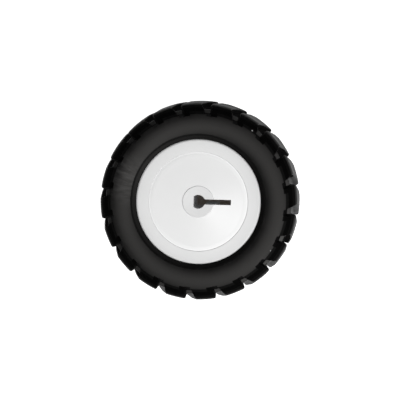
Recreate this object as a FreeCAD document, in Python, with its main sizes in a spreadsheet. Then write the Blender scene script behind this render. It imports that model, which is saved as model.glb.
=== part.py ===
import FreeCAD, Part
import math
import os
import Sketcher

# A small robot drive wheel: a rubber tyre on a moulded plastic hub.
# The axle runs along Z, the outer face looks to +Z and the origin is the wheel's centre.

# Driving dimensions, in millimetres and degrees
sizes = {
    # tyre carcass, its sidewall a low bulge with a flat crest and a ledge outside it between the lugs
    "wheel_radius": 21.5,
    "wheel_width": 19.0,
    "crest_width": 1.9,
    "shoulder_fall": 0.55,
    "shoulder_drop": 1.45,
    "shoulder_span": 3.9,
    "ledge_inset": 0.5,
    "ledge_drop": 1.0,
    "ledge_width": 0.75,
    "ledge_fall": 0.35,
    "lip_width": 1.19,
    "lip_drop": 0.15,
    "carcass_wall": 1.9,
    "bead_width": 2.4,
    "bead_height": 2.3,
    "bead_clearance": 0.05,
    # tread lugs
    "lug_count": 20,
    "lug_phase": 5.8,
    "lug_sweep": 8.0,
    "lug_toe_skew": 2.5,
    "lug_height": 1.3,
    "lug_crown": 0.2,
    "lug_setback": 2.6,
    "lug_end_width": 4.6,
    "lug_waist_width": 4.4,
    "lug_draft": 3.0,
    "lug_embed": 1.1,
    "lug_toe_rise": 0.15,
    # hub
    "rim_radius": 13.48,
    "rim_recess": 1.2,
    "rim_thickness": 1.5,
    "rim_bevel": 0.4,
    "rim_face_width": 2.74,
    "channel_depth": 1.08,
    "barrel_wall": 1.5,
    "disc_rise": 0.14,
    "disc_bevel": 0.1,
    "disc_dome": 0.42,
    "web_thickness": 1.44,
    "cap_wall": 1.88,
    "cap_rise": 0.14,
    "boss_wall": 2.5,
    "boss_recess": 3.1,
    "rib_count": 4,
    "rib_angle": 45.0,
    "rib_thickness": 1.2,
    "rib_recess": 2.6,
    # shaft hole
    "shaft_radius": 1.5,
    "shaft_flat": 1.0,
    "slit_width": 1.13,
    "slit_reach": 7.06,
}

document = FreeCAD.newDocument("wheel")
sheet = document.addObject("Spreadsheet::Sheet", "sizes")
for row, (alias, number) in enumerate(sizes.items(), 1):
    sheet.set("A%d" % row, alias)
    sheet.set("B%d" % row, str(number))
    sheet.setAlias("B%d" % row, alias)
document.recompute()


class Size:
    """A number together with the expression that ties it to the sheet."""

    def __init__(self, number, text):
        self.number = number
        self.text = text

    def __add__(self, other):
        other = as_size(other)
        return Size(self.number + other.number, "(%s + %s)" % (self.text, other.text))

    def __sub__(self, other):
        other = as_size(other)
        return Size(self.number - other.number, "(%s - %s)" % (self.text, other.text))

    def __mul__(self, other):
        other = as_size(other)
        return Size(self.number * other.number, "(%s * %s)" % (self.text, other.text))

    def __truediv__(self, other):
        other = as_size(other)
        return Size(self.number / other.number, "(%s / %s)" % (self.text, other.text))

    def __neg__(self):
        return Size(-self.number, "(-%s)" % self.text)


def as_size(value):
    return value if isinstance(value, Size) else Size(float(value), repr(value))


def size(alias):
    return Size(float(sheet.get(alias)), "sizes.%s" % alias)


def tangent(angle):
    return Size(math.tan(math.radians(angle.number)), "tan(%s)" % angle.text)


zero = as_size(0)


# Sketch helpers
def origin_feature(body, role):
    return next(item for item in body.Origin.OriginFeatures if item.Role == role)


def new_sketch(body, name, plane, height=None, turn=None):
    sketch = body.newObject("Sketcher::SketchObject", name)
    sketch.AttachmentSupport = (origin_feature(body, plane), [""])
    sketch.MapMode = "FlatFace"
    if height is not None:
        sketch.setExpression("AttachmentOffset.Base.z", height.text)
    if turn is not None:
        sketch.AttachmentOffset = FreeCAD.Placement(
            FreeCAD.Vector(0, 0, height.number if height else 0),
            FreeCAD.Rotation(FreeCAD.Vector(0, 0, 1), turn.number))
        sketch.setExpression("AttachmentOffset.Rotation.Angle", turn.text)
    return sketch


def fix_point(sketch, edge, end, place):
    """Hold one end of an edge at a place measured from the sketch's origin."""
    for kind, axis, distance in (("DistanceX", -2, place[0]), ("DistanceY", -1, place[1])):
        if distance is zero:
            sketch.addConstraint(Sketcher.Constraint("PointOnObject", edge, end, axis))
            continue
        number = sketch.addConstraint(Sketcher.Constraint(kind, -1, 1, edge, end, distance.number))
        sketch.setExpression("Constraints[%d]" % number, distance.text)


def draw_outline(sketch, corners):
    """A closed outline of straight edges through corners, each an x and a y."""
    spots = [FreeCAD.Vector(across.number, along.number, 0) for across, along in corners]
    edges = [sketch.addGeometry(Part.LineSegment(spot, spots[(index + 1) % len(spots)]), False)
             for index, spot in enumerate(spots)]
    for index, edge in enumerate(edges):
        following = edges[(index + 1) % len(edges)]
        sketch.addConstraint(Sketcher.Constraint("Coincident", edge, 2, following, 1))
        fix_point(sketch, edge, 1, corners[index])


# Feature helpers
def revolve(body, name, sketch):
    feature = body.newObject("PartDesign::Revolution", name)
    feature.Profile = sketch
    feature.ReferenceAxis = (sketch, ["V_Axis"])
    feature.Angle = 360
    return feature


def pad(body, name, sketch, length):
    feature = body.newObject("PartDesign::Pad", name)
    feature.Profile = sketch
    feature.setExpression("Length", length.text)
    return feature


def cut_through(body, name, sketch):
    feature = body.newObject("PartDesign::Pocket", name)
    feature.Profile = sketch
    feature.Type = "ThroughAll"
    feature.Midplane = True
    return feature


def repeat_round(body, name, feature, count):
    pattern = body.newObject("PartDesign::PolarPattern", name)
    pattern.Originals = [feature]
    pattern.Axis = (origin_feature(body, "Z_Axis"), [""])
    pattern.Angle = 360
    pattern.setExpression("Occurrences", count.text)
    body.Tip = pattern
    return pattern


# Hub: rims either side of a bead channel, a domed face with a raised cap, and a split boss behind it
half_width = size("wheel_width") / 2
shaft_radius = size("shaft_radius")
rim_radius = size("rim_radius")
rim_height = half_width - size("rim_recess")
rim_bevel = size("rim_bevel")
channel_radius = rim_radius - size("channel_depth")
channel_half_width = rim_height - size("rim_thickness")
barrel_wall = size("barrel_wall")
barrel_bore = channel_radius - barrel_wall
disc_radius = rim_radius - size("rim_face_width")
disc_bevel = size("disc_bevel")
disc_height = rim_height + size("disc_rise")
dome_height = disc_height + size("disc_dome")
cap_radius = shaft_radius + size("cap_wall")
cap_height = dome_height + size("cap_rise")
web_thickness = size("web_thickness")
web_back = disc_height - web_thickness
boss_radius = shaft_radius + size("boss_wall")
boss_back = size("boss_recess") - rim_height
rib_back = boss_back + size("rib_recess")


def build_hub():
    hub = document.addObject("PartDesign::Body", "hub_body")
    hub.Label = "hub"
    section = new_sketch(hub, "hub_section", "XZ_Plane")
    draw_outline(section, [
        (zero, cap_height),
        (zero, boss_back),
        (boss_radius, boss_back),
        (boss_radius, web_back),
        (barrel_bore, web_back),
        (barrel_bore, -rim_height),
        (rim_radius - rim_bevel, -rim_height),
        (rim_radius, rim_bevel - rim_height),
        (rim_radius, -channel_half_width),
        (channel_radius, -channel_half_width),
        (channel_radius, channel_half_width),
        (rim_radius, channel_half_width),
        (rim_radius, rim_height - rim_bevel),
        (rim_radius - rim_bevel, rim_height),
        (disc_radius, rim_height),
        (disc_radius - disc_bevel, disc_height),
        (cap_radius, dome_height),
        (cap_radius, cap_height),
    ])
    revolve(hub, "hub_turning", section)

    half_rib = size("rib_thickness") / 2
    rib_start = boss_radius - half_rib
    rib_finish = barrel_bore + barrel_wall / 2
    rib_outline = new_sketch(hub, "rib_outline", "XY_Plane", rib_back, size("rib_angle"))
    draw_outline(rib_outline, [
        (rib_start, -half_rib),
        (rib_finish, -half_rib),
        (rib_finish, half_rib),
        (rib_start, half_rib),
    ])
    rib = pad(hub, "rib", rib_outline, web_back + web_thickness / 2 - rib_back)
    repeat_round(hub, "ribs", rib, size("rib_count"))
    return hub


def cut_shaft_hole(hub):
    """The D-shaped hole for the motor shaft, and the slit that lets the boss grip it."""
    radius = shaft_radius
    flat = size("shaft_flat")
    hole = new_sketch(hub, "shaft_outline", "XY_Plane")
    corner = math.acos(-flat.number / radius.number)
    circle = Part.Circle(FreeCAD.Vector(0, 0, 0), FreeCAD.Vector(0, 0, 1), radius.number)
    arc = hole.addGeometry(Part.ArcOfCircle(circle, -corner, corner), False)
    rise = radius.number * math.sin(corner)
    line = hole.addGeometry(Part.LineSegment(FreeCAD.Vector(-flat.number, rise, 0),
                                             FreeCAD.Vector(-flat.number, -rise, 0)), False)
    hole.addConstraint(Sketcher.Constraint("Coincident", arc, 3, -1, 1))
    hole.addConstraint(Sketcher.Constraint("Coincident", arc, 2, line, 1))
    hole.addConstraint(Sketcher.Constraint("Coincident", line, 2, arc, 1))
    hole.addConstraint(Sketcher.Constraint("Vertical", line))
    number = hole.addConstraint(Sketcher.Constraint("Radius", arc, radius.number))
    hole.setExpression("Constraints[%d]" % number, radius.text)
    number = hole.addConstraint(Sketcher.Constraint("DistanceX", -1, 1, line, 1, -flat.number))
    hole.setExpression("Constraints[%d]" % number, (-flat).text)
    cut_through(hub, "shaft_hole", hole)

    half_slit = size("slit_width") / 2
    slit = new_sketch(hub, "slit_outline", "XY_Plane")
    draw_outline(slit, [
        (zero, -half_slit),
        (size("slit_reach"), -half_slit),
        (size("slit_reach"), half_slit),
        (zero, half_slit),
    ])
    cut_through(hub, "slit", slit)


# Tyre: a hollow carcass whose beads sit in the hub's channel, with its lips outside the hub's rims
clearance = size("bead_clearance")
bead_bore = channel_radius + clearance
bead_side = channel_half_width - clearance
bead_inside = bead_side - size("bead_width")
bead_top = bead_bore + size("bead_height")
lip_bore = rim_radius + clearance
lip_foot = rim_height - size("lip_drop")
wall_start = lip_bore + size("lip_width")
wall = size("carcass_wall")
floor_radius = size("wheel_radius") - size("lug_height")
floor_half_width = half_width - size("shoulder_span")
shoulder_radius = floor_radius - size("shoulder_drop")
shoulder_height = half_width - size("shoulder_fall")
ledge_foot = shoulder_radius + size("ledge_inset")
ledge_height = shoulder_height - size("ledge_drop")
ledge_edge = ledge_foot + size("ledge_width")
ledge_edge_height = ledge_height - size("ledge_fall")
crest_middle = (wall_start + shoulder_radius) / 2
crest_inside = crest_middle - size("crest_width") / 2
crest_outside = crest_middle + size("crest_width") / 2


def build_carcass():
    tyre = document.addObject("PartDesign::Body", "tyre_body")
    tyre.Label = "tyre"
    section = new_sketch(tyre, "carcass_section", "XZ_Plane")
    draw_outline(section, [
        (floor_radius, zero),
        (floor_radius, floor_half_width),
        (ledge_edge, ledge_edge_height),
        (ledge_foot, ledge_height),
        (shoulder_radius, shoulder_height),
        (crest_outside, half_width),
        (crest_inside, half_width),
        (wall_start, shoulder_height),
        (lip_bore, lip_foot),
        (lip_bore, bead_side),
        (bead_bore, bead_side),
        (bead_bore, bead_inside),
        (bead_top, bead_inside),
        (bead_top, bead_side),
        (floor_radius - wall, bead_side),
        (floor_radius - wall, zero),
    ])
    half = revolve(tyre, "half_carcass", section)
    document.recompute()
    mirrored = tyre.newObject("PartDesign::Mirrored", "carcass")
    mirrored.Originals = [half]
    mirrored.MirrorPlane = (origin_feature(tyre, "XY_Plane"), [""])
    tyre.Tip = mirrored
    return tyre


def lug_section(tyre, name, height, tip, root, half_tip, half_root, turn):
    """One cross section of a lug, with a round tip about the axle and drafted sides."""
    sketch = new_sketch(tyre, name, "XY_Plane", height, turn)
    reach = math.asin(half_tip.number / tip.number)
    circle = Part.Circle(FreeCAD.Vector(0, 0, 0), FreeCAD.Vector(0, 0, 1), tip.number)
    arc = sketch.addGeometry(Part.ArcOfCircle(circle, -reach, reach), False)
    corners = [
        FreeCAD.Vector(tip.number * math.cos(reach), half_tip.number, 0),
        FreeCAD.Vector(root.number, half_root.number, 0),
        FreeCAD.Vector(root.number, -half_root.number, 0),
        FreeCAD.Vector(tip.number * math.cos(reach), -half_tip.number, 0),
    ]
    lines = [sketch.addGeometry(Part.LineSegment(corners[side], corners[side + 1]), False)
             for side in range(3)]
    sketch.addConstraint(Sketcher.Constraint("Coincident", arc, 3, -1, 1))
    sketch.addConstraint(Sketcher.Constraint("Coincident", arc, 2, lines[0], 1))
    sketch.addConstraint(Sketcher.Constraint("Coincident", lines[0], 2, lines[1], 1))
    sketch.addConstraint(Sketcher.Constraint("Coincident", lines[1], 2, lines[2], 1))
    sketch.addConstraint(Sketcher.Constraint("Coincident", lines[2], 2, arc, 1))
    number = sketch.addConstraint(Sketcher.Constraint("Radius", arc, tip.number))
    sketch.setExpression("Constraints[%d]" % number, tip.text)
    for edge, end, rise in ((arc, 2, half_tip), (arc, 1, -half_tip)):
        number = sketch.addConstraint(Sketcher.Constraint("DistanceY", -1, 1, edge, end, rise.number))
        sketch.setExpression("Constraints[%d]" % number, rise.text)
    fix_point(sketch, lines[1], 1, (root, half_root))
    fix_point(sketch, lines[1], 2, (root, -half_root))
    return sketch


def add_lugs(tyre):
    """Slanted lugs, a little waisted in the middle, each lofted through five sections.

    The toe of a lug, on the shoulder, is turned back against the slant of the lug itself.
    """
    crown = size("wheel_radius")
    end_tip = crown - size("lug_crown")
    toe_tip = shoulder_radius + size("lug_toe_rise")
    root = floor_radius - size("lug_embed")
    toe_root = shoulder_radius - size("lug_embed")
    spread = tangent(size("lug_draft"))
    half_end = size("lug_end_width") / 2
    half_toe = half_end + (end_tip - toe_tip) * spread
    half_waist = size("lug_waist_width") / 2
    end_height = half_width - size("lug_setback")
    front_turn = size("lug_phase")
    middle_turn = front_turn - size("lug_sweep") / 2
    back_turn = front_turn - size("lug_sweep")
    toe_skew = size("lug_toe_skew")
    stations = [
        ("front_toe", shoulder_height, front_turn - toe_skew, toe_tip, toe_root, half_toe),
        ("front_end", end_height, front_turn, end_tip, root, half_end),
        ("waist", zero, middle_turn, crown, root, half_waist),
        ("back_end", -end_height, back_turn, end_tip, root, half_end),
        ("back_toe", -shoulder_height, back_turn + toe_skew, toe_tip, toe_root, half_toe),
    ]
    sections = []
    for name, height, turn, tip, depth, half_tip in stations:
        half_root = half_tip + (tip - depth) * spread
        sections.append(lug_section(tyre, "lug_" + name, height, tip, depth, half_tip, half_root, turn))
    document.recompute()
    lug = tyre.newObject("PartDesign::AdditiveLoft", "lug")
    lug.Profile = sections[0]
    lug.Sections = sections[1:]
    lug.Ruled = True
    document.recompute()
    repeat_round(tyre, "lugs", lug, size("lug_count"))


def check_document():
    document.recompute()
    for item in document.Objects:
        if "Invalid" in item.State or "Error" in item.State:
            raise RuntimeError("%s did not build" % item.Name)


hub = build_hub()
cut_shaft_hole(hub)
tyre = build_carcass()
add_lugs(tyre)
check_document()

os.makedirs("parts", exist_ok=True)
for piece in (hub, tyre):
    piece.Placement = FreeCAD.Placement()
    shape = piece.Shape
    if shape.isNull() or not shape.isValid() or len(shape.Solids) != 1:
        raise RuntimeError("%s is not one sound solid" % piece.Label)
    shape.exportStep("parts/%s.step" % piece.Label)
    print(piece.Label, "volume %.1f mm3" % shape.Volume, shape.BoundBox)
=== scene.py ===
import math

import bmesh
import bpy
from mathutils import Matrix, Vector


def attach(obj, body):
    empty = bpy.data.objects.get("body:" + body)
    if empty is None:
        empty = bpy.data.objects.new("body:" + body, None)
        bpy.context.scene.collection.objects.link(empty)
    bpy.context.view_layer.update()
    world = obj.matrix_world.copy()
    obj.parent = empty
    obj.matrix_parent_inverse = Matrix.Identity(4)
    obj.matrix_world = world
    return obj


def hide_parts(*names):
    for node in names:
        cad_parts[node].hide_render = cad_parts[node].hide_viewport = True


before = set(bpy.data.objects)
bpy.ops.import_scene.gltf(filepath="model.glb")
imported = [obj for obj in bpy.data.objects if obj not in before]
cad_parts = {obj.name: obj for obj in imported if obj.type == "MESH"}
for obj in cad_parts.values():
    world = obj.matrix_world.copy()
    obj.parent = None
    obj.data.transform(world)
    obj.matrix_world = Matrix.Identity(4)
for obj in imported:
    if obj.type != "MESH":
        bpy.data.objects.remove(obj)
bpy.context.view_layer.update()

mm = 0.001  # drawing lengths are in millimetres, the scene is in metres


# rounded lines: each corner is (across, along, radius), and both ends stay where they are
def roundCorners(corners, steps=5, ease=0.06):
    nearlyStraight = math.radians(89.5)
    points = [Vector(corners[0][:2])]
    for index in range(1, len(corners) - 1):
        here = Vector(corners[index][:2])
        radius = corners[index][2]
        toBefore = (Vector(corners[index - 1][:2]) - here).normalized()
        toAfter = (Vector(corners[index + 1][:2]) - here).normalized()
        half = toBefore.angle(toAfter) / 2
        if radius <= 0 or half > nearlyStraight:
            points.append(here)
            continue
        run = radius / math.tan(half)
        centre = here + (toBefore + toAfter).normalized() * radius / math.sin(half)
        start = here + toBefore * run - centre
        finish = here + toAfter * run - centre
        swing = math.pi - 2 * half
        points.append(here + toBefore * run * (1 + ease))  # holds the shading flat up to the round
        for step in range(steps + 1):
            share = step / steps
            points.append(centre + start * (math.sin((1 - share) * swing) / math.sin(swing))
                          + finish * (math.sin(share * swing) / math.sin(swing)))
        points.append(here + toAfter * run * (1 + ease))
    points.append(Vector(corners[-1][:2]))
    return points


def addToScene(name, data):
    thing = bpy.data.objects.new(name, data)
    bpy.context.scene.collection.objects.link(thing)
    return thing


# a closed skin from rows of points, joined up in both directions
def stitchRows(name, rows):
    count = len(rows)
    wide = len(rows[0])
    points = [point * mm for row in rows for point in row]
    faces = []
    for row in range(count):
        following = (row + 1) % count
        for column in range(wide):
            beside = (column + 1) % wide
            faces.append((row * wide + column, row * wide + beside,
                          following * wide + beside, following * wide + column))
    mesh = bpy.data.meshes.new(name)
    mesh.from_pydata(points, [], faces)
    skin = bmesh.new()
    skin.from_mesh(mesh)
    bmesh.ops.recalc_face_normals(skin, faces=skin.faces)
    skin.to_mesh(mesh)
    skin.free()
    return addToScene(name, mesh)


# smooth shading, kept crisp where two faces meet at more than the given angle
def smoothPiece(piece, degrees):
    skin = bmesh.new()
    skin.from_mesh(piece.data)
    for face in skin.faces:
        face.smooth = True
    for edge in skin.edges:
        edge.smooth = len(edge.link_faces) == 2 and edge.calc_face_angle() < math.radians(degrees)
    skin.to_mesh(piece.data)
    skin.free()


# Tyre: hollow carcass, rounded sidewalls and slanted tread lugs
tyreSizes = {
    # lugs, all alike
    "lugCount": 20,
    "lugPhase": 5.8,            # turn of a lug's outer end, degrees
    "lugSweep": 8.0,            # how far a lug leans from one side to the other, degrees
    "toeSkew": 2.5,             # how far its foot on the wall is turned back again, degrees
    "lugHalfEnd": 2.3,
    "lugHalfWaist": 2.2,
    "lugEndHeight": 6.9,
    "lugDraft": 1.0,            # degrees
    "crownRadius": 21.5,
    "endRadius": 21.3,
    "tipRound": 0.22,           # edges along a lug
    "rootRound": 0.15,          # where a lug meets the tread floor
    "endRound": 1.6,            # edge between a lug's end and its top
    "toeEdge": 18.9,            # where the wall turns down on to a lug's end
    "toeRound": 3.0,
    # floor of the gaps, with a ledge beside the wall
    "floorRadius": 20.2,
    "floorHalfWidth": 5.6,
    "floorRound": 1.5,
    "gapEdge": 18.55,           # where the wall turns down into a gap
    "gapRound": 0.2,
    "ledgeFoot": (19.25, 7.95),
    "ledgeFootRound": 0.12,
    "ledgeEdge": (20.0, 7.6),
    "ledgeEdgeRound": 0.25,
    # sidewall, and the lip beside the rim
    "wallStart": (14.72, 8.95),
    "wallStartRound": 0.7,
    "wallLead": 0.4,            # room for that round before the wall's own sweep
    "crestHeight": 9.5,
    "wallEnd": 18.35,
    "shoulderRadius": 18.75,
    "lipBore": 13.53,
    "lipFoot": 8.15,
    "lipFootRound": 0.12,
    "lipEdge": (14.3, 8.57),
    "lipEdgeRound": 0.5,
    # beads and the hollow inside
    "beadBore": 12.45,
    "beadHeights": (4.35, 6.75),
    "hollowRadii": (14.75, 18.3),
    "hollowHalf": 6.75,
    # where one finish of the rubber gives way to the next
    "lipFade": 0.1,             # the lip's finish ends this far past its edge
    "toeFade": 19.45,           # the wall's sheen fades on a lug's end up to here
    "cornerFrom": 18.6,         # the leading corner of that end takes the lug end's darkest copy from here on, a painted shade
    "cornerShare": 0.4,         # and from this share of a lug's half width
    "crownFade": 0.3,           # the finish of a lug's top ends this far down its end
    "edgeFade": 0.9,            # and the lug edge's copy, a step of gloss that paints a softer fall of light, ends here
    "ledgeFade": 0.05,
    "litFlankTurns": ((-125, -33), (-14, 16)),  # lug sides between these turns take the glossy copy of the rubber, the rest a paler matte copy: painted light and shade, degrees
    "creaseAngle": 40,
}


def lugHalfWidth(radius, height):
    size = tyreSizes
    share = min(1, abs(height) / size["lugEndHeight"])
    tip = size["crownRadius"] + (size["endRadius"] - size["crownRadius"]) * share
    half = size["lugHalfWaist"] + (size["lugHalfEnd"] - size["lugHalfWaist"]) * share
    return half + (tip - radius) * math.tan(math.radians(size["lugDraft"]))


def lugTurn(height):
    size = tyreSizes
    share = max(-1, min(1, height / size["lugEndHeight"]))
    beyond = max(0, abs(height) - size["lugEndHeight"]) / (size["wallStart"][1] - size["lugEndHeight"])
    skew = math.copysign(size["toeSkew"] * min(1, beyond), height)
    return math.radians(size["lugPhase"] - size["lugSweep"] * (1 - share) / 2 - skew)


# stations across one lug pitch for a tread row: angle from the lug's middle, and how far up the lug
def lugStations(floorPoint, lugPoint):
    size = tyreSizes
    leastRise = 0.14  # keeps the stations apart where a lug runs out into the wall
    leastLean = 0.1   # a side leans in by this share of its rise or more
    mostRound = 0.4   # and a round takes up no more than this share
    rise = max((lugPoint - floorPoint).length, leastRise)
    wide = lugHalfWidth(*floorPoint)
    narrow = min(lugHalfWidth(*lugPoint), wide - leastLean * rise)
    gapMiddle = floorPoint[0] * math.sin(math.pi / size["lugCount"])
    line = roundCorners([
        (gapMiddle, 0),
        (wide, 0, min(size["rootRound"], rise * mostRound)),
        (narrow, rise, min(size["tipRound"], rise * mostRound)),
        (0, rise),
    ], steps=2, ease=0.25)
    line.insert(len(line) - 1, Vector((narrow / 2, rise)))
    stations = []
    for across, up in line:
        share = up / rise
        radius = floorPoint[0] + (lugPoint[0] - floorPoint[0]) * share
        stations.append((math.asin(min(1, across / radius)), share))
    stations[0] = (math.pi / size["lugCount"], 0)
    return [(-angle, share) for angle, share in stations[:-1]] + stations[:0:-1]


# where a line that falls all the way passes a height
def pointAt(line, height):
    for above, below in zip(line, line[1:]):
        if above[1] >= height >= below[1] and above[1] > below[1]:
            return above.lerp(below, (above[1] - height) / (above[1] - below[1]))
    return line[-1].copy()


# the front half's section: points along the wall, then pairs of points down the tread, in a gap and on a lug
def tyreHalf():
    size = tyreSizes
    start, end = size["wallStart"], size["wallEnd"]
    half = (size["shoulderRadius"] - start[0]) / 2
    rise = size["crestHeight"] - start[1]
    bulge = (half ** 2 + rise ** 2) / (2 * rise)

    def wallPoint(radius):
        across = radius - start[0] - half
        return Vector((radius, size["crestHeight"] - bulge + math.sqrt(bulge ** 2 - across ** 2)))

    # one round sweep from the lip beside the rim, over the crest, to the shoulder
    wallSteps = 20
    first = start[0] + size["wallLead"]
    wall = [wallPoint(first + (end - first) * step / wallSteps) for step in range(wallSteps + 1)]
    lip = roundCorners([
        (size["lipBore"], size["beadHeights"][1]),
        (size["lipBore"], size["lipFoot"], size["lipFootRound"]),
        (*size["lipEdge"], size["lipEdgeRound"]),
        (*start, size["wallStartRound"]),
        wall[0],
    ], steps=4)
    wall = lip[:-1] + wall
    # from the shoulder on, the tread floor in a gap and the line over a lug run side by side
    slope = wall[-1] - wall[-2]
    fall = slope[1] / slope[0]
    gapHeight = wall[-1][1] + fall * (size["gapEdge"] - end)
    toeHeight = wall[-1][1] + fall * (size["toeEdge"] - end)
    floorLine = roundCorners([
        wall[-1],
        (size["gapEdge"], gapHeight, size["gapRound"]),
        (*size["ledgeFoot"], size["ledgeFootRound"]),
        (*size["ledgeEdge"], size["ledgeEdgeRound"]),
        (size["floorRadius"], size["floorHalfWidth"], size["floorRound"]),
        (size["floorRadius"], 0),
    ], steps=4)
    lugLine = roundCorners([
        wall[-1],
        (size["toeEdge"], toeHeight, size["toeRound"]),
        (size["endRadius"], size["lugEndHeight"], size["endRound"]),
        (size["crownRadius"], 0),
    ], steps=5)
    # rows at every corner of both lines, with more along the top and down the end of a lug
    crownRows = 10
    endRows = 20
    endStep = 0.1
    leastStep = 0.025
    heights = [point[1] for point in floorLine + lugLine]
    heights += [size["lugEndHeight"] * row / crownRows for row in range(1, crownRows)]
    heights += [size["lugEndHeight"] + endStep * row for row in range(1, endRows)]
    pairs = []
    for height in sorted(set(heights), reverse=True):
        if not pairs or pairs[-1][0][1] - height > leastStep or height == 0:
            pairs.append((pointAt(floorLine, height), pointAt(lugLine, height)))
    return wall[:-1], pairs


# each face takes the finish of the part of the moulding that it lies on; lug sides take lit and shaded
# copies by their turn round the tyre, and leading corners a dark one: painted light and shade
def finishTyre(tyre, spots, stations):
    size = tyreSizes
    parts = list(rubberFinish["parts"])
    count = len(stations)
    cornerShadeAngle = size["cornerShare"] * size["lugHalfEnd"] / size["toeEdge"]
    for face in tyre.data.polygons:
        row, column = divmod(face.index, count * size["lugCount"])
        angle, here = stations[column % count]
        beside = stations[(column + 1) % count][1]
        radius, height = spots[row][0]
        lugRadius = spots[row][1][0]
        height = abs(height)
        onFloor = here == 0 and beside == 0
        onTop = min(here, beside) > 0.5
        inCornerShade = onTop and angle > cornerShadeAngle
        aboveGap = onTop or radius < size["gapEdge"]
        if radius < size["lipEdge"][0] + size["lipFade"]:
            part = "lip"
        # painted shade: a lug's leading corner near its foot takes the end's darkest copy
        elif inCornerShade and size["cornerFrom"] < lugRadius < size["toeFade"]:
            part = "lugEnd"
        elif radius <= size["wallEnd"] or aboveGap and lugRadius < size["toeEdge"]:
            part = "wall"
        elif onTop and lugRadius < size["toeFade"]:
            part = "toe"
        elif onTop and height > size["lugEndHeight"] + size["crownFade"]:
            part = "lugEdge" if height < size["lugEndHeight"] + size["edgeFade"] else "lugEnd"
        elif onTop:
            part = "crown"
        elif height > size["ledgeFoot"][1] + size["ledgeFade"]:
            part = "lugEnd"
        elif onFloor and height > size["ledgeEdge"][1] - size["ledgeFade"]:
            part = "ledge"
        else:
            # painted light and shade: lug sides in the listed turns take a glossy copy, the rest a paler
            # matte copy
            turn = math.degrees(math.atan2(face.center[1], face.center[0]))
            inLitTurns = any(low < turn < high for low, high in size["litFlankTurns"])
            part = "flank" if inLitTurns else "shadedFlank"
        face.material_index = parts.index(part)


def buildTyre():
    size = tyreSizes
    wall, pairs = tyreHalf()
    rows = []
    spots = []

    def sweepRow(floorPoint, lugPoint, stations, turn):
        row = []
        for lug in range(size["lugCount"]):
            middle = turn + lug * 2 * math.pi / size["lugCount"]
            for angle, share in stations:
                radius, height = floorPoint.lerp(lugPoint, share)
                row.append(Vector((radius * math.cos(middle + angle),
                                   radius * math.sin(middle + angle), height)))
        rows.append(row)
        spots.append((floorPoint, lugPoint))

    wallStations = lugStations(*pairs[0])
    frontTurn = lugTurn(size["crestHeight"])
    backTurn = lugTurn(-size["crestHeight"])
    for point in wall:
        sweepRow(point, point, wallStations, frontTurn)
    for floorPoint, lugPoint in pairs:
        sweepRow(floorPoint, lugPoint, lugStations(floorPoint, lugPoint), lugTurn(lugPoint[1]))
    # the back half is the front one turned over
    flip = Matrix(((1, 0), (0, -1)))
    for floorPoint, lugPoint in pairs[-2::-1]:
        floorBack, lugBack = flip @ floorPoint, flip @ lugPoint
        sweepRow(floorBack, lugBack, lugStations(floorPoint, lugPoint), lugTurn(lugBack[1]))
    for point in wall[::-1]:
        sweepRow(flip @ point, flip @ point, wallStations, backTurn)
    # beads and the hollow inside
    beadLow, beadHigh = size["beadHeights"]
    hollowStart, hollowEnd = size["hollowRadii"]
    inside = [
        (size["beadBore"], beadHigh),
        (size["beadBore"], beadLow),
        (hollowStart, beadLow),
        (hollowStart, size["hollowHalf"]),
        (hollowEnd, size["hollowHalf"]),
    ]
    for radius, height in inside:
        sweepRow(Vector((radius, -height)), Vector((radius, -height)), wallStations, backTurn)
    for radius, height in inside[::-1]:
        sweepRow(Vector((radius, height)), Vector((radius, height)), wallStations, frontTurn)
    tyre = stitchRows("tyreSkin", rows)
    finishTyre(tyre, spots, wallStations)
    smoothPiece(tyre, size["creaseAngle"])
    print("tyre:", len(tyre.data.polygons), "faces,", len(rows), "rows of", len(rows[0]))
    return tyre


# Hub: turned body with rims, a domed face with a raised cap, ribs and a split boss behind
hubSizes = {
    # rims, and the channel that holds the beads
    "rimRadius": 13.48,
    "rimHeight": 8.3,
    "rimRound": 0.45,
    "channelRadius": 12.4,
    "channelHalf": 6.8,
    "channelRound": 0.1,
    "barrelBore": 10.9,
    "barrelRound": 0.25,
    # face: flat ring, groove, domed disc and cap
    "ringMiddle": 12.3,         # the front and back lines of the section meet here
    "grooveRadius": 10.66,
    "grooveDepth": 0.11,
    "grooveRounds": (0.03, 0.02),  # its upper edge and its foot
    "discRadius": 9.9,          # where the disc rounds off towards the groove
    "discHeight": 8.39,
    "discRound": 3.0,
    "domeHeight": 8.79,
    "capRadius": 3.38,
    "capRise": 0.14,
    "capDish": 0.06,
    "capSlope": (0.08, 0.06),   # its edge starts this far outside that radius and ends this far inside
    "capRounds": (0.06, 0.12),  # its foot and its upper edge
    # web, boss and ribs behind the face
    "webBack": 7.0,
    "webRound": 0.4,
    "bossRadius": 4.0,
    "bossBack": -5.2,
    "bossRound": 0.3,
    "ribCount": 4,
    "ribTurn": 45,              # degrees from the slit to the first rib
    "ribSpan": (3.4, 11.65),    # from inside the boss to inside the barrel
    "ribThickness": 1.2,
    "ribBack": -2.6,
    "ribSink": 0.85,            # how far a rib runs on into the web
    # shaft hole and slit
    "coreRadius": 0.6,          # inner end of the turned section, lost in the shaft hole
    "shaftRadius": 1.5,
    "shaftFlat": 1.0,
    "slitWidth": 1.13,
    "slitReach": 7.06,
    "turns": 240,
    "creaseAngle": 35,
}


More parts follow.
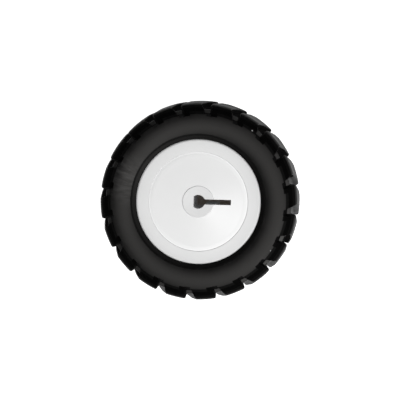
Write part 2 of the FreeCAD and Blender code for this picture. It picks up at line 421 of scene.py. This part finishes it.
def hubProfile():
    size = hubSizes
    rim, height = size["rimRadius"], size["rimHeight"]
    core, channel = size["coreRadius"], size["channelRound"]
    groove, dome = size["grooveRadius"], size["domeHeight"]
    back = roundCorners([
        (core, size["bossBack"]),
        (size["bossRadius"], size["bossBack"], size["bossRound"]),
        (size["bossRadius"], size["webBack"], size["webRound"]),
        (size["barrelBore"], size["webBack"], size["webRound"]),
        (size["barrelBore"], -height, size["barrelRound"]),
        (rim, -height, size["rimRound"]),
        (rim, -size["channelHalf"], channel),
        (size["channelRadius"], -size["channelHalf"], channel),
        (size["channelRadius"], size["channelHalf"], channel),
        (rim, size["channelHalf"], channel),
        (rim, height, size["rimRound"]),
        (size["ringMiddle"], height),
    ])
    front = roundCorners([
        (size["ringMiddle"], height),
        (groove + size["grooveDepth"], height, size["grooveRounds"][0]),
        (groove, height - size["grooveDepth"], size["grooveRounds"][1]),
        (size["discRadius"], size["discHeight"], size["discRound"]),
        (size["capRadius"] + size["capSlope"][0], dome, size["capRounds"][0]),
        (size["capRadius"] - size["capSlope"][1], dome + size["capRise"], size["capRounds"][1]),
        (core, dome + size["capRise"] - size["capDish"]),
    ])
    return back[:-1] + front


def prism(name, outline, low, high):
    skin = bmesh.new()
    bottom = [skin.verts.new(Vector((x, y, low)) * mm) for x, y in outline]
    top = [skin.verts.new(Vector((x, y, high)) * mm) for x, y in outline]
    skin.faces.new(bottom[::-1])
    skin.faces.new(top)
    for index in range(len(outline)):
        beside = (index + 1) % len(outline)
        skin.faces.new((bottom[index], bottom[beside], top[beside], top[index]))
    mesh = bpy.data.meshes.new(name)
    skin.to_mesh(mesh)
    skin.free()
    return addToScene(name, mesh)


def combine(piece, tool, how):
    joining = piece.modifiers.new(how.lower(), "BOOLEAN")
    joining.operation = how
    joining.solver = "EXACT"
    joining.object = tool
    bpy.context.view_layer.update()
    shaped = piece.evaluated_get(bpy.context.evaluated_depsgraph_get())
    mesh = bpy.data.meshes.new_from_object(shaped)
    piece.modifiers.clear()
    piece.data = mesh
    bpy.data.objects.remove(tool)


# the D of the shaft, running on into the slit
def shaftOutline():
    size = hubSizes
    radius = size["shaftRadius"]
    flatCorner = math.acos(-size["shaftFlat"] / radius)
    slitHalf = size["slitWidth"] / 2
    slitStart = math.asin(slitHalf / radius)
    steps = 24
    outline = [(size["slitReach"], -slitHalf), (size["slitReach"], slitHalf)]
    for start in (slitStart, -flatCorner):
        for step in range(steps + 1):
            angle = start + (flatCorner - slitStart) * step / steps
            outline.append((radius * math.cos(angle), radius * math.sin(angle)))
    return outline


def buildHub():
    size = hubSizes
    turns = [step * 2 * math.pi / size["turns"] for step in range(size["turns"])]
    rows = []
    for radius, height in hubProfile():
        rows.append([Vector((radius * math.cos(turn), radius * math.sin(turn), height)) for turn in turns])
    hub = stitchRows("hubMoulding", rows)
    inner, outer = size["ribSpan"]
    half = size["ribThickness"] / 2
    for rib in range(size["ribCount"]):
        turn = Matrix.Rotation(math.radians(size["ribTurn"] + 360 / size["ribCount"] * rib), 2)
        corners = ((inner, -half), (outer, -half), (outer, half), (inner, half))
        outline = [turn @ Vector(corner) for corner in corners]
        combine(hub, prism("rib", outline, size["ribBack"], size["webBack"] + size["ribSink"]), "UNION")
    through = 20  # well past both ends of the boss
    combine(hub, prism("shaftCut", shaftOutline(), -through, through), "DIFFERENCE")
    smoothPiece(hub, size["creaseAngle"])
    print("hub:", len(hub.data.polygons), "faces")
    return hub


# node helpers: the ones that add a node give back the socket that the next one takes
def newMaterial(name):
    material = bpy.data.materials.new(name)
    material.use_nodes = True
    tree = material.node_tree
    place = tree.nodes.new("ShaderNodeTexCoord").outputs["Object"]
    return material, tree, tree.nodes["Principled BSDF"], place


def noiseNode(tree, place, scale, detail=3.0, rough=0.5):
    noise = tree.nodes.new("ShaderNodeTexNoise")
    noise.inputs["Scale"].default_value = scale
    noise.inputs["Detail"].default_value = detail
    noise.inputs["Roughness"].default_value = rough
    tree.links.new(place, noise.inputs["Vector"])
    return noise.outputs["Fac"]


def rampNode(tree, source, stops):
    ramp = tree.nodes.new("ShaderNodeValToRGB")
    tree.links.new(source, ramp.inputs["Fac"])
    band = ramp.color_ramp
    while len(band.elements) < len(stops):
        band.elements.new(0.5)
    for element, (position, colour) in zip(band.elements, stops):
        element.position = position
        element.color = (*colour, 1.0)
    return ramp.outputs["Color"]


def rangeNode(tree, source, span, result=(0, 1)):
    remap = tree.nodes.new("ShaderNodeMapRange")
    tree.links.new(source, remap.inputs["Value"])
    remap.inputs["From Min"].default_value = span[0]
    remap.inputs["From Max"].default_value = span[1]
    remap.inputs["To Min"].default_value = result[0]
    remap.inputs["To Max"].default_value = result[1]
    return remap.outputs["Result"]


# greys along a distance, from pairs of millimetres and shade
def distanceRamp(tree, distance, reach, shades):
    share = rangeNode(tree, distance, (0, reach * mm))
    return rampNode(tree, share, [(far / reach, (shade, shade, shade)) for far, shade in shades])


# the second input is another node's socket or a plain value
def vectorNode(tree, operation, source, second=None, scale=None):
    vector = tree.nodes.new("ShaderNodeVectorMath")
    vector.operation = operation
    tree.links.new(source, vector.inputs[0])
    if isinstance(second, bpy.types.NodeSocket):
        tree.links.new(second, vector.inputs[1])
    elif second is not None:
        vector.inputs[1].default_value = second
    if scale is not None:
        vector.inputs["Scale"].default_value = scale
    givesNumber = operation in ("DISTANCE", "LENGTH", "DOT_PRODUCT")
    return vector.outputs["Value" if givesNumber else "Vector"]


def grainBump(tree, shader, place, grain):
    bump = tree.nodes.new("ShaderNodeBump")
    bump.inputs["Strength"].default_value = grain["strength"]
    bump.inputs["Distance"].default_value = grain["depth"] * mm
    tree.links.new(noiseNode(tree, place, grain["scale"], grain["detail"]), bump.inputs["Height"])
    tree.links.new(bump.outputs["Normal"], shader.inputs["Normal"])


# the camera sees one shader, and the wheel is lit by the other
def splitForCamera(tree, lighting, seen, surface):
    path = tree.nodes.new("ShaderNodeLightPath")
    mix = tree.nodes.new("ShaderNodeMixShader")
    tree.links.new(path.outputs["Is Camera Ray"], mix.inputs["Fac"])
    tree.links.new(lighting, mix.inputs[1])
    tree.links.new(seen, mix.inputs[2])
    tree.links.new(mix.outputs["Shader"], surface)


# Rubber: near black with a dull sheen and a fine moulded grain
rubberFinish = {
    "parts": {
        "wall": {"dark": 0.0, "pale": 0.0055, "rough": (0.45, 0.54), "gloss": 0.32},
        "crown": {"dark": 0.008, "pale": 0.014, "rough": (0.45, 0.58), "gloss": 0.12},
        # painted sheen: a step of gloss between a lug's top and its end
        "lugEdge": {"dark": 0.0007, "pale": 0.0014, "rough": (0.42, 0.55), "gloss": 0.075},
        "flank": {"dark": 0.0008, "pale": 0.0016, "rough": (0.42, 0.55), "gloss": 0.07},
        # painted shade: a paler matte copy for the lug sides turned away from the light
        "shadedFlank": {"dark": 0.006, "pale": 0.012, "rough": (0.5, 0.6), "gloss": 0.0},
        "ledge": {"dark": 0.001, "pale": 0.002, "rough": (0.42, 0.5), "gloss": 0.48},
        "toe": {"dark": 0.0007, "pale": 0.0014, "rough": (0.42, 0.55), "gloss": 0.1},
        "lugEnd": {"dark": 0.0006, "pale": 0.0012, "rough": (0.42, 0.55), "gloss": 0.03},
        "lip": {"dark": 0.0006, "pale": 0.0012, "rough": (0.42, 0.5), "gloss": 0.15},
    },
    "tone": (1.0, 0.975, 0.955),  # a trace of warmth in the paler rubber and in its sheen
    "cloud": {"scale": 350.0, "detail": 6.0, "rough": 0.65},
    "cloudTones": (0.3, 0.75),    # the cloud's values that come out darkest and palest
    "cloudRough": (0.3, 0.7),     # and least and most rough
    "grain": {"scale": 6000.0, "detail": 2.0, "strength": 0.05, "depth": 0.05},
    # dust: a scuffed patch of the wall, and two specks beside the lugs
    "dust": (
        {"at": (-15.9, 4.6, 9.3), "reach": 6.5, "pale": (0.032, 0.0315, 0.031), "flecks": (0.35, 0.72),
         "on": ("wall",)},
        {"at": (11.23, 15.66, 8.6), "reach": 0.2, "pale": (0.5, 0.5, 0.5), "flecks": (0.0, 0.1),
         "on": ("wall", "toe", "lugEnd")},
        {"at": (15.91, -10.08, 8.95), "reach": 0.17, "pale": (0.3, 0.3, 0.3), "flecks": (0.0, 0.1),
         "on": ("wall", "toe", "lugEnd")},
    ),
    "dustCore": 0.2,              # the dust is thickest within this share of its reach
    "scuffs": {"scale": 1.0, "detail": 4.0, "rough": 0.7},
    "scuffsRound": 22,            # how fast the scuffs change round the tyre
    "scuffsAcross": 350,          # and across its wall, to the metre
}


# scuffs run out from the axle, so they change faster round the tyre than across its wall
def scuffNode(tree, place):
    finish = rubberFinish
    outward = vectorNode(tree, "NORMALIZE", vectorNode(tree, "MULTIPLY", place, (1, 1, 0)))
    around = vectorNode(tree, "SCALE", outward, scale=finish["scuffsRound"])
    across = vectorNode(tree, "SCALE", place, scale=finish["scuffsAcross"])
    return noiseNode(tree, vectorNode(tree, "ADD", around, across), **finish["scuffs"])


def rubberMaterial(part):
    finish = rubberFinish
    values = finish["parts"][part]
    material, tree, shader, place = newMaterial(part + "Rubber")
    cloud = noiseNode(tree, place, **finish["cloud"])
    darkest, palest = finish["cloudTones"]
    colour = rampNode(tree, cloud, [
        (darkest, (values["dark"],) * 3),
        (palest, [values["pale"] * tone for tone in finish["tone"]]),
    ])
    dusty = [spot for spot in finish["dust"] if part in spot["on"]]
    scuffs = scuffNode(tree, place) if dusty else None
    for spot in dusty:
        away = vectorNode(tree, "DISTANCE", place, Vector(spot["at"]) * mm)
        near = rangeNode(tree, away, (spot["reach"] * mm, spot["reach"] * finish["dustCore"] * mm))
        cover = tree.nodes.new("ShaderNodeMath")
        cover.operation = "MULTIPLY"
        tree.links.new(near, cover.inputs[0])
        tree.links.new(rangeNode(tree, scuffs, spot["flecks"]), cover.inputs[1])
        layer = rampNode(tree, cover.outputs["Value"], [(0, (0, 0, 0)), (1, spot["pale"])])
        colour = vectorNode(tree, "ADD", colour, layer)
    tree.links.new(colour, shader.inputs["Base Color"])
    sheen = rangeNode(tree, cloud, finish["cloudRough"], values["rough"])
    tree.links.new(sheen, shader.inputs["Roughness"])
    shader.inputs["Specular IOR Level"].default_value = values["gloss"]
    shader.inputs["Specular Tint"].default_value = (*finish["tone"], 1)
    grainBump(tree, shader, place, finish["grain"])
    return material


# Plastic: white, satin, with a faint mottle, and light and shade painted in rings round the axle: darker on
# the cap, a painted highlight along the disc's edge, painted shade in the groove and on the ring beside the
# tyre
plasticFinish = {
    "light": (0.768, 0.77, 0.771),
    "mottle": 0.98,               # how dark the mottle gets, as a share of that
    "cloudScale": 120.0,
    "cloudSpan": (0.3, 0.7),
    # painted light and shade by distance from the axle, millimetres: darker on the cap, a painted highlight
    # at the disc's edge, painted shade in the groove, the ring darker towards the tyre
    "shadeAndHighlight": ((3.3, 0.89), (3.5, 1.0), (9.7, 1.0), (9.95, 1.04), (10.42, 1.05), (10.48, 1.13),
             (10.6, 1.13), (10.66, 0.84), (10.78, 0.84), (10.84, 0.92), (12.3, 0.88), (13.2, 0.83)),
    "shadeAndHighlightReach": 14,
    "rough": (0.18, 0.25),
    "grain": {"scale": 5000.0, "detail": 2.0, "strength": 0.04, "depth": 0.03},
}


def plasticMaterial():
    finish = plasticFinish
    material, tree, shader, place = newMaterial("hubPlastic")
    cloud = noiseNode(tree, place, finish["cloudScale"])
    low, high = finish["cloudSpan"]
    mottle = rampNode(tree, cloud, [
        (low, [tone * finish["mottle"] for tone in finish["light"]]),
        (high, finish["light"]),
    ])
    fromAxle = vectorNode(tree, "LENGTH", vectorNode(tree, "MULTIPLY", place, (1, 1, 0)))
    # painted shade and highlight in rings round the axle
    shadeAndHighlight = distanceRamp(tree, fromAxle, finish["shadeAndHighlightReach"], finish["shadeAndHighlight"])
    tree.links.new(vectorNode(tree, "MULTIPLY", mottle, shadeAndHighlight), shader.inputs["Base Color"])
    sheen = rangeNode(tree, cloud, finish["cloudSpan"], finish["rough"])
    tree.links.new(sheen, shader.inputs["Roughness"])
    grainBump(tree, shader, place, finish["grain"])
    return material


tyre = buildTyre()
for part in rubberFinish["parts"]:
    tyre.data.materials.append(rubberMaterial(part))
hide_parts("tyre")
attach(tyre, "root")
print("tyre rubber:", len(tyre.data.materials), "finishes")

hub = buildHub()
hub.data.materials.append(plasticMaterial())
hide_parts("hub")
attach(hub, "root")
print("hub plastic in place")


# Floor: pale paper that stays white round the wheel
floorPaper = {
    "half": 0.6,                # metres
    "level": -9.5,
    "base": (0.6, 0.6, 0.6),
    "rough": 0.9,
    "glow": 0.97,               # keeps the paper white round the wheel
    # painted shade: under the wheel the floor's glow turns this dark brown, seen through the shaft hole
    "paintedShadeUnderWheel": (0.013, 0.0085, 0.004),
    "underFade": (18, 21),      # the painted shade under the wheel gives way to white between these
    "shade": (-0.5, 4.0),       # the wheel's shadow painted on the paper lies this far to one side
    "paper": ((20.5, 0.04), (23, 0.8), (55, 0.8), (85, 0.02)),  # millimetres out, and how pale it is there
    "paperReach": 100,
    "paperGlow": 1.6,
}


def buildFloor():
    values = floorPaper
    half = values["half"]
    level = values["level"] * mm
    mesh = bpy.data.meshes.new("floor")
    corners = [(-half, -half, level), (half, -half, level), (half, half, level), (-half, half, level)]
    mesh.from_pydata(corners, [], [(0, 1, 2, 3)])
    floor = addToScene("floor", mesh)
    material, tree, shader, place = newMaterial("paleFloor")
    # what the wheel is lit by: glowing paper, with the wheel's shadow painted on it
    shadeX, shadeY = values["shade"]
    fromPaintedShadow = vectorNode(tree, "DISTANCE", place, (shadeX * mm, shadeY * mm, level))
    paper = tree.nodes.new("ShaderNodeEmission")
    pale = distanceRamp(tree, fromPaintedShadow, values["paperReach"], values["paper"])
    tree.links.new(pale, paper.inputs["Color"])
    paper.inputs["Strength"].default_value = values["paperGlow"]
    # what the camera sees
    fromWheel = vectorNode(tree, "DISTANCE", place, (0, 0, level))
    cover = rangeNode(tree, fromWheel, [radius * mm for radius in values["underFade"]])
    # painted shade under the wheel, white glow further out
    glow = rampNode(tree, cover, [(0, values["paintedShadeUnderWheel"]), (1, (1, 1, 1))])
    tree.links.new(glow, shader.inputs["Emission Color"])
    shader.inputs["Emission Strength"].default_value = values["glow"]
    shader.inputs["Base Color"].default_value = (*values["base"], 1)
    shader.inputs["Roughness"].default_value = values["rough"]
    splitForCamera(tree, paper.outputs["Emission"], shader.outputs["BSDF"],
                   tree.nodes["Material Output"].inputs["Surface"])
    mesh.materials.append(material)
    print("floor in place")


# Light: a soft sky, paler to one side and dimmed overhead, and two lamps
studioLight = {
    "skyPower": 2.1,
    "skyAxis": (0.22, -0.22, 0.95),
    "skyShades": ((0.1, (0.0, 0.0, 0.0)), (0.53, (0.03, 0.03, 0.032)), (0.63, (0.3, 0.303, 0.306)),
                  (0.73, (0.85, 0.85, 0.85)), (0.87, (1.0, 0.998, 0.99))),
    "skyOverhead": ((0.6, (1.0, 1.0, 1.0)), (0.77, (0.93, 0.93, 0.93)), (0.9, (0.78, 0.78, 0.78)),
                    (0.97, (0.65, 0.65, 0.65)), (0.99, (0.5, 0.5, 0.5)), (0.998, (0.2, 0.2, 0.2))),
    "backdrop": (0.95, 0.95, 0.95),
    "lamps": {
        "highlight": {"power": 0.2, "size": 0.1, "place": (0.048, -0.072, 0.6)},
        "key": {"power": 0.5, "size": 0.25, "place": (0.387, -0.271, 0.37)},
    },
}


def buildLight():
    values = studioLight
    world = bpy.data.worlds.new("studio")
    bpy.context.scene.world = world
    world.use_nodes = True
    tree = world.node_tree
    direction = tree.nodes.new("ShaderNodeTexCoord").outputs["Generated"]
    lean = vectorNode(tree, "DOT_PRODUCT", direction, Vector(values["skyAxis"]).normalized())
    split = tree.nodes.new("ShaderNodeSeparateXYZ")
    tree.links.new(direction, split.inputs["Vector"])
    overhead = rampNode(tree, split.outputs["Z"], values["skyOverhead"])
    shades = vectorNode(tree, "MULTIPLY", rampNode(tree, lean, values["skyShades"]), overhead)
    sky = tree.nodes["Background"]
    tree.links.new(shades, sky.inputs["Color"])
    sky.inputs["Strength"].default_value = values["skyPower"]
    backdrop = tree.nodes.new("ShaderNodeBackground")
    backdrop.inputs["Color"].default_value = (*values["backdrop"], 1)
    splitForCamera(tree, sky.outputs["Background"], backdrop.outputs["Background"],
                   tree.nodes["World Output"].inputs["Surface"])
    for name, lampValues in values["lamps"].items():
        lamp = bpy.data.lights.new(name, "AREA")
        lamp.energy = lampValues["power"]
        lamp.size = lampValues["size"]
        stand = addToScene(name, lamp)
        stand.location = lampValues["place"]
        stand.rotation_euler = (-Vector(lampValues["place"])).to_track_quat("-Z", "Y").to_euler()
    print("light:", len(values["lamps"]), "lamps and a sky")


# Camera: nearly straight on to the wheel's face
studioCamera = {
    "tilt": (3.3, 3.0),         # degrees off the axle, to the right and up
    "distance": 1.1,            # metres
    "roll": 1.7,                # degrees
    "scale": 4.603,             # pixels to a millimetre at the wheel's centre
    "imageWidth": 400,          # pixels
    "faceHeight": 8.3,
    "aim": (0.37, 0.355),       # millimetres right and up of the wheel's face centre
    "sensor": 36,
    "nearest": 0.01,
}


def buildCamera():
    values = studioCamera
    lean = [math.sin(math.radians(tilt)) for tilt in values["tilt"]]
    away = Vector((*lean, math.sqrt(1 - lean[0] ** 2 - lean[1] ** 2)))
    roll = math.radians(values["roll"])
    right = Vector((math.cos(roll), math.sin(roll), 0))
    right = (right - away * right.dot(away)).normalized()
    up = away.cross(right)
    lens = bpy.data.cameras.new("camera")
    lens.sensor_width = values["sensor"]
    lens.lens = values["sensor"] * values["distance"] * values["scale"] / (values["imageWidth"] * mm)
    lens.clip_start = values["nearest"]
    camera = addToScene("camera", lens)
    face = Vector((0, 0, values["faceHeight"])) * mm
    aim = face + (right * values["aim"][0] + up * values["aim"][1]) * mm
    eye = away * values["distance"]
    back = (eye - aim).normalized()
    right = up.cross(back).normalized()
    turn = Matrix((right, back.cross(right), back)).transposed()
    camera.matrix_world = Matrix.Translation(eye) @ turn.to_4x4()
    bpy.context.scene.camera = camera
    bpy.context.scene.view_settings.view_transform = "Standard"
    print("camera in place")


buildFloor()
buildLight()
buildCamera()

bpy.context.view_layer.update()
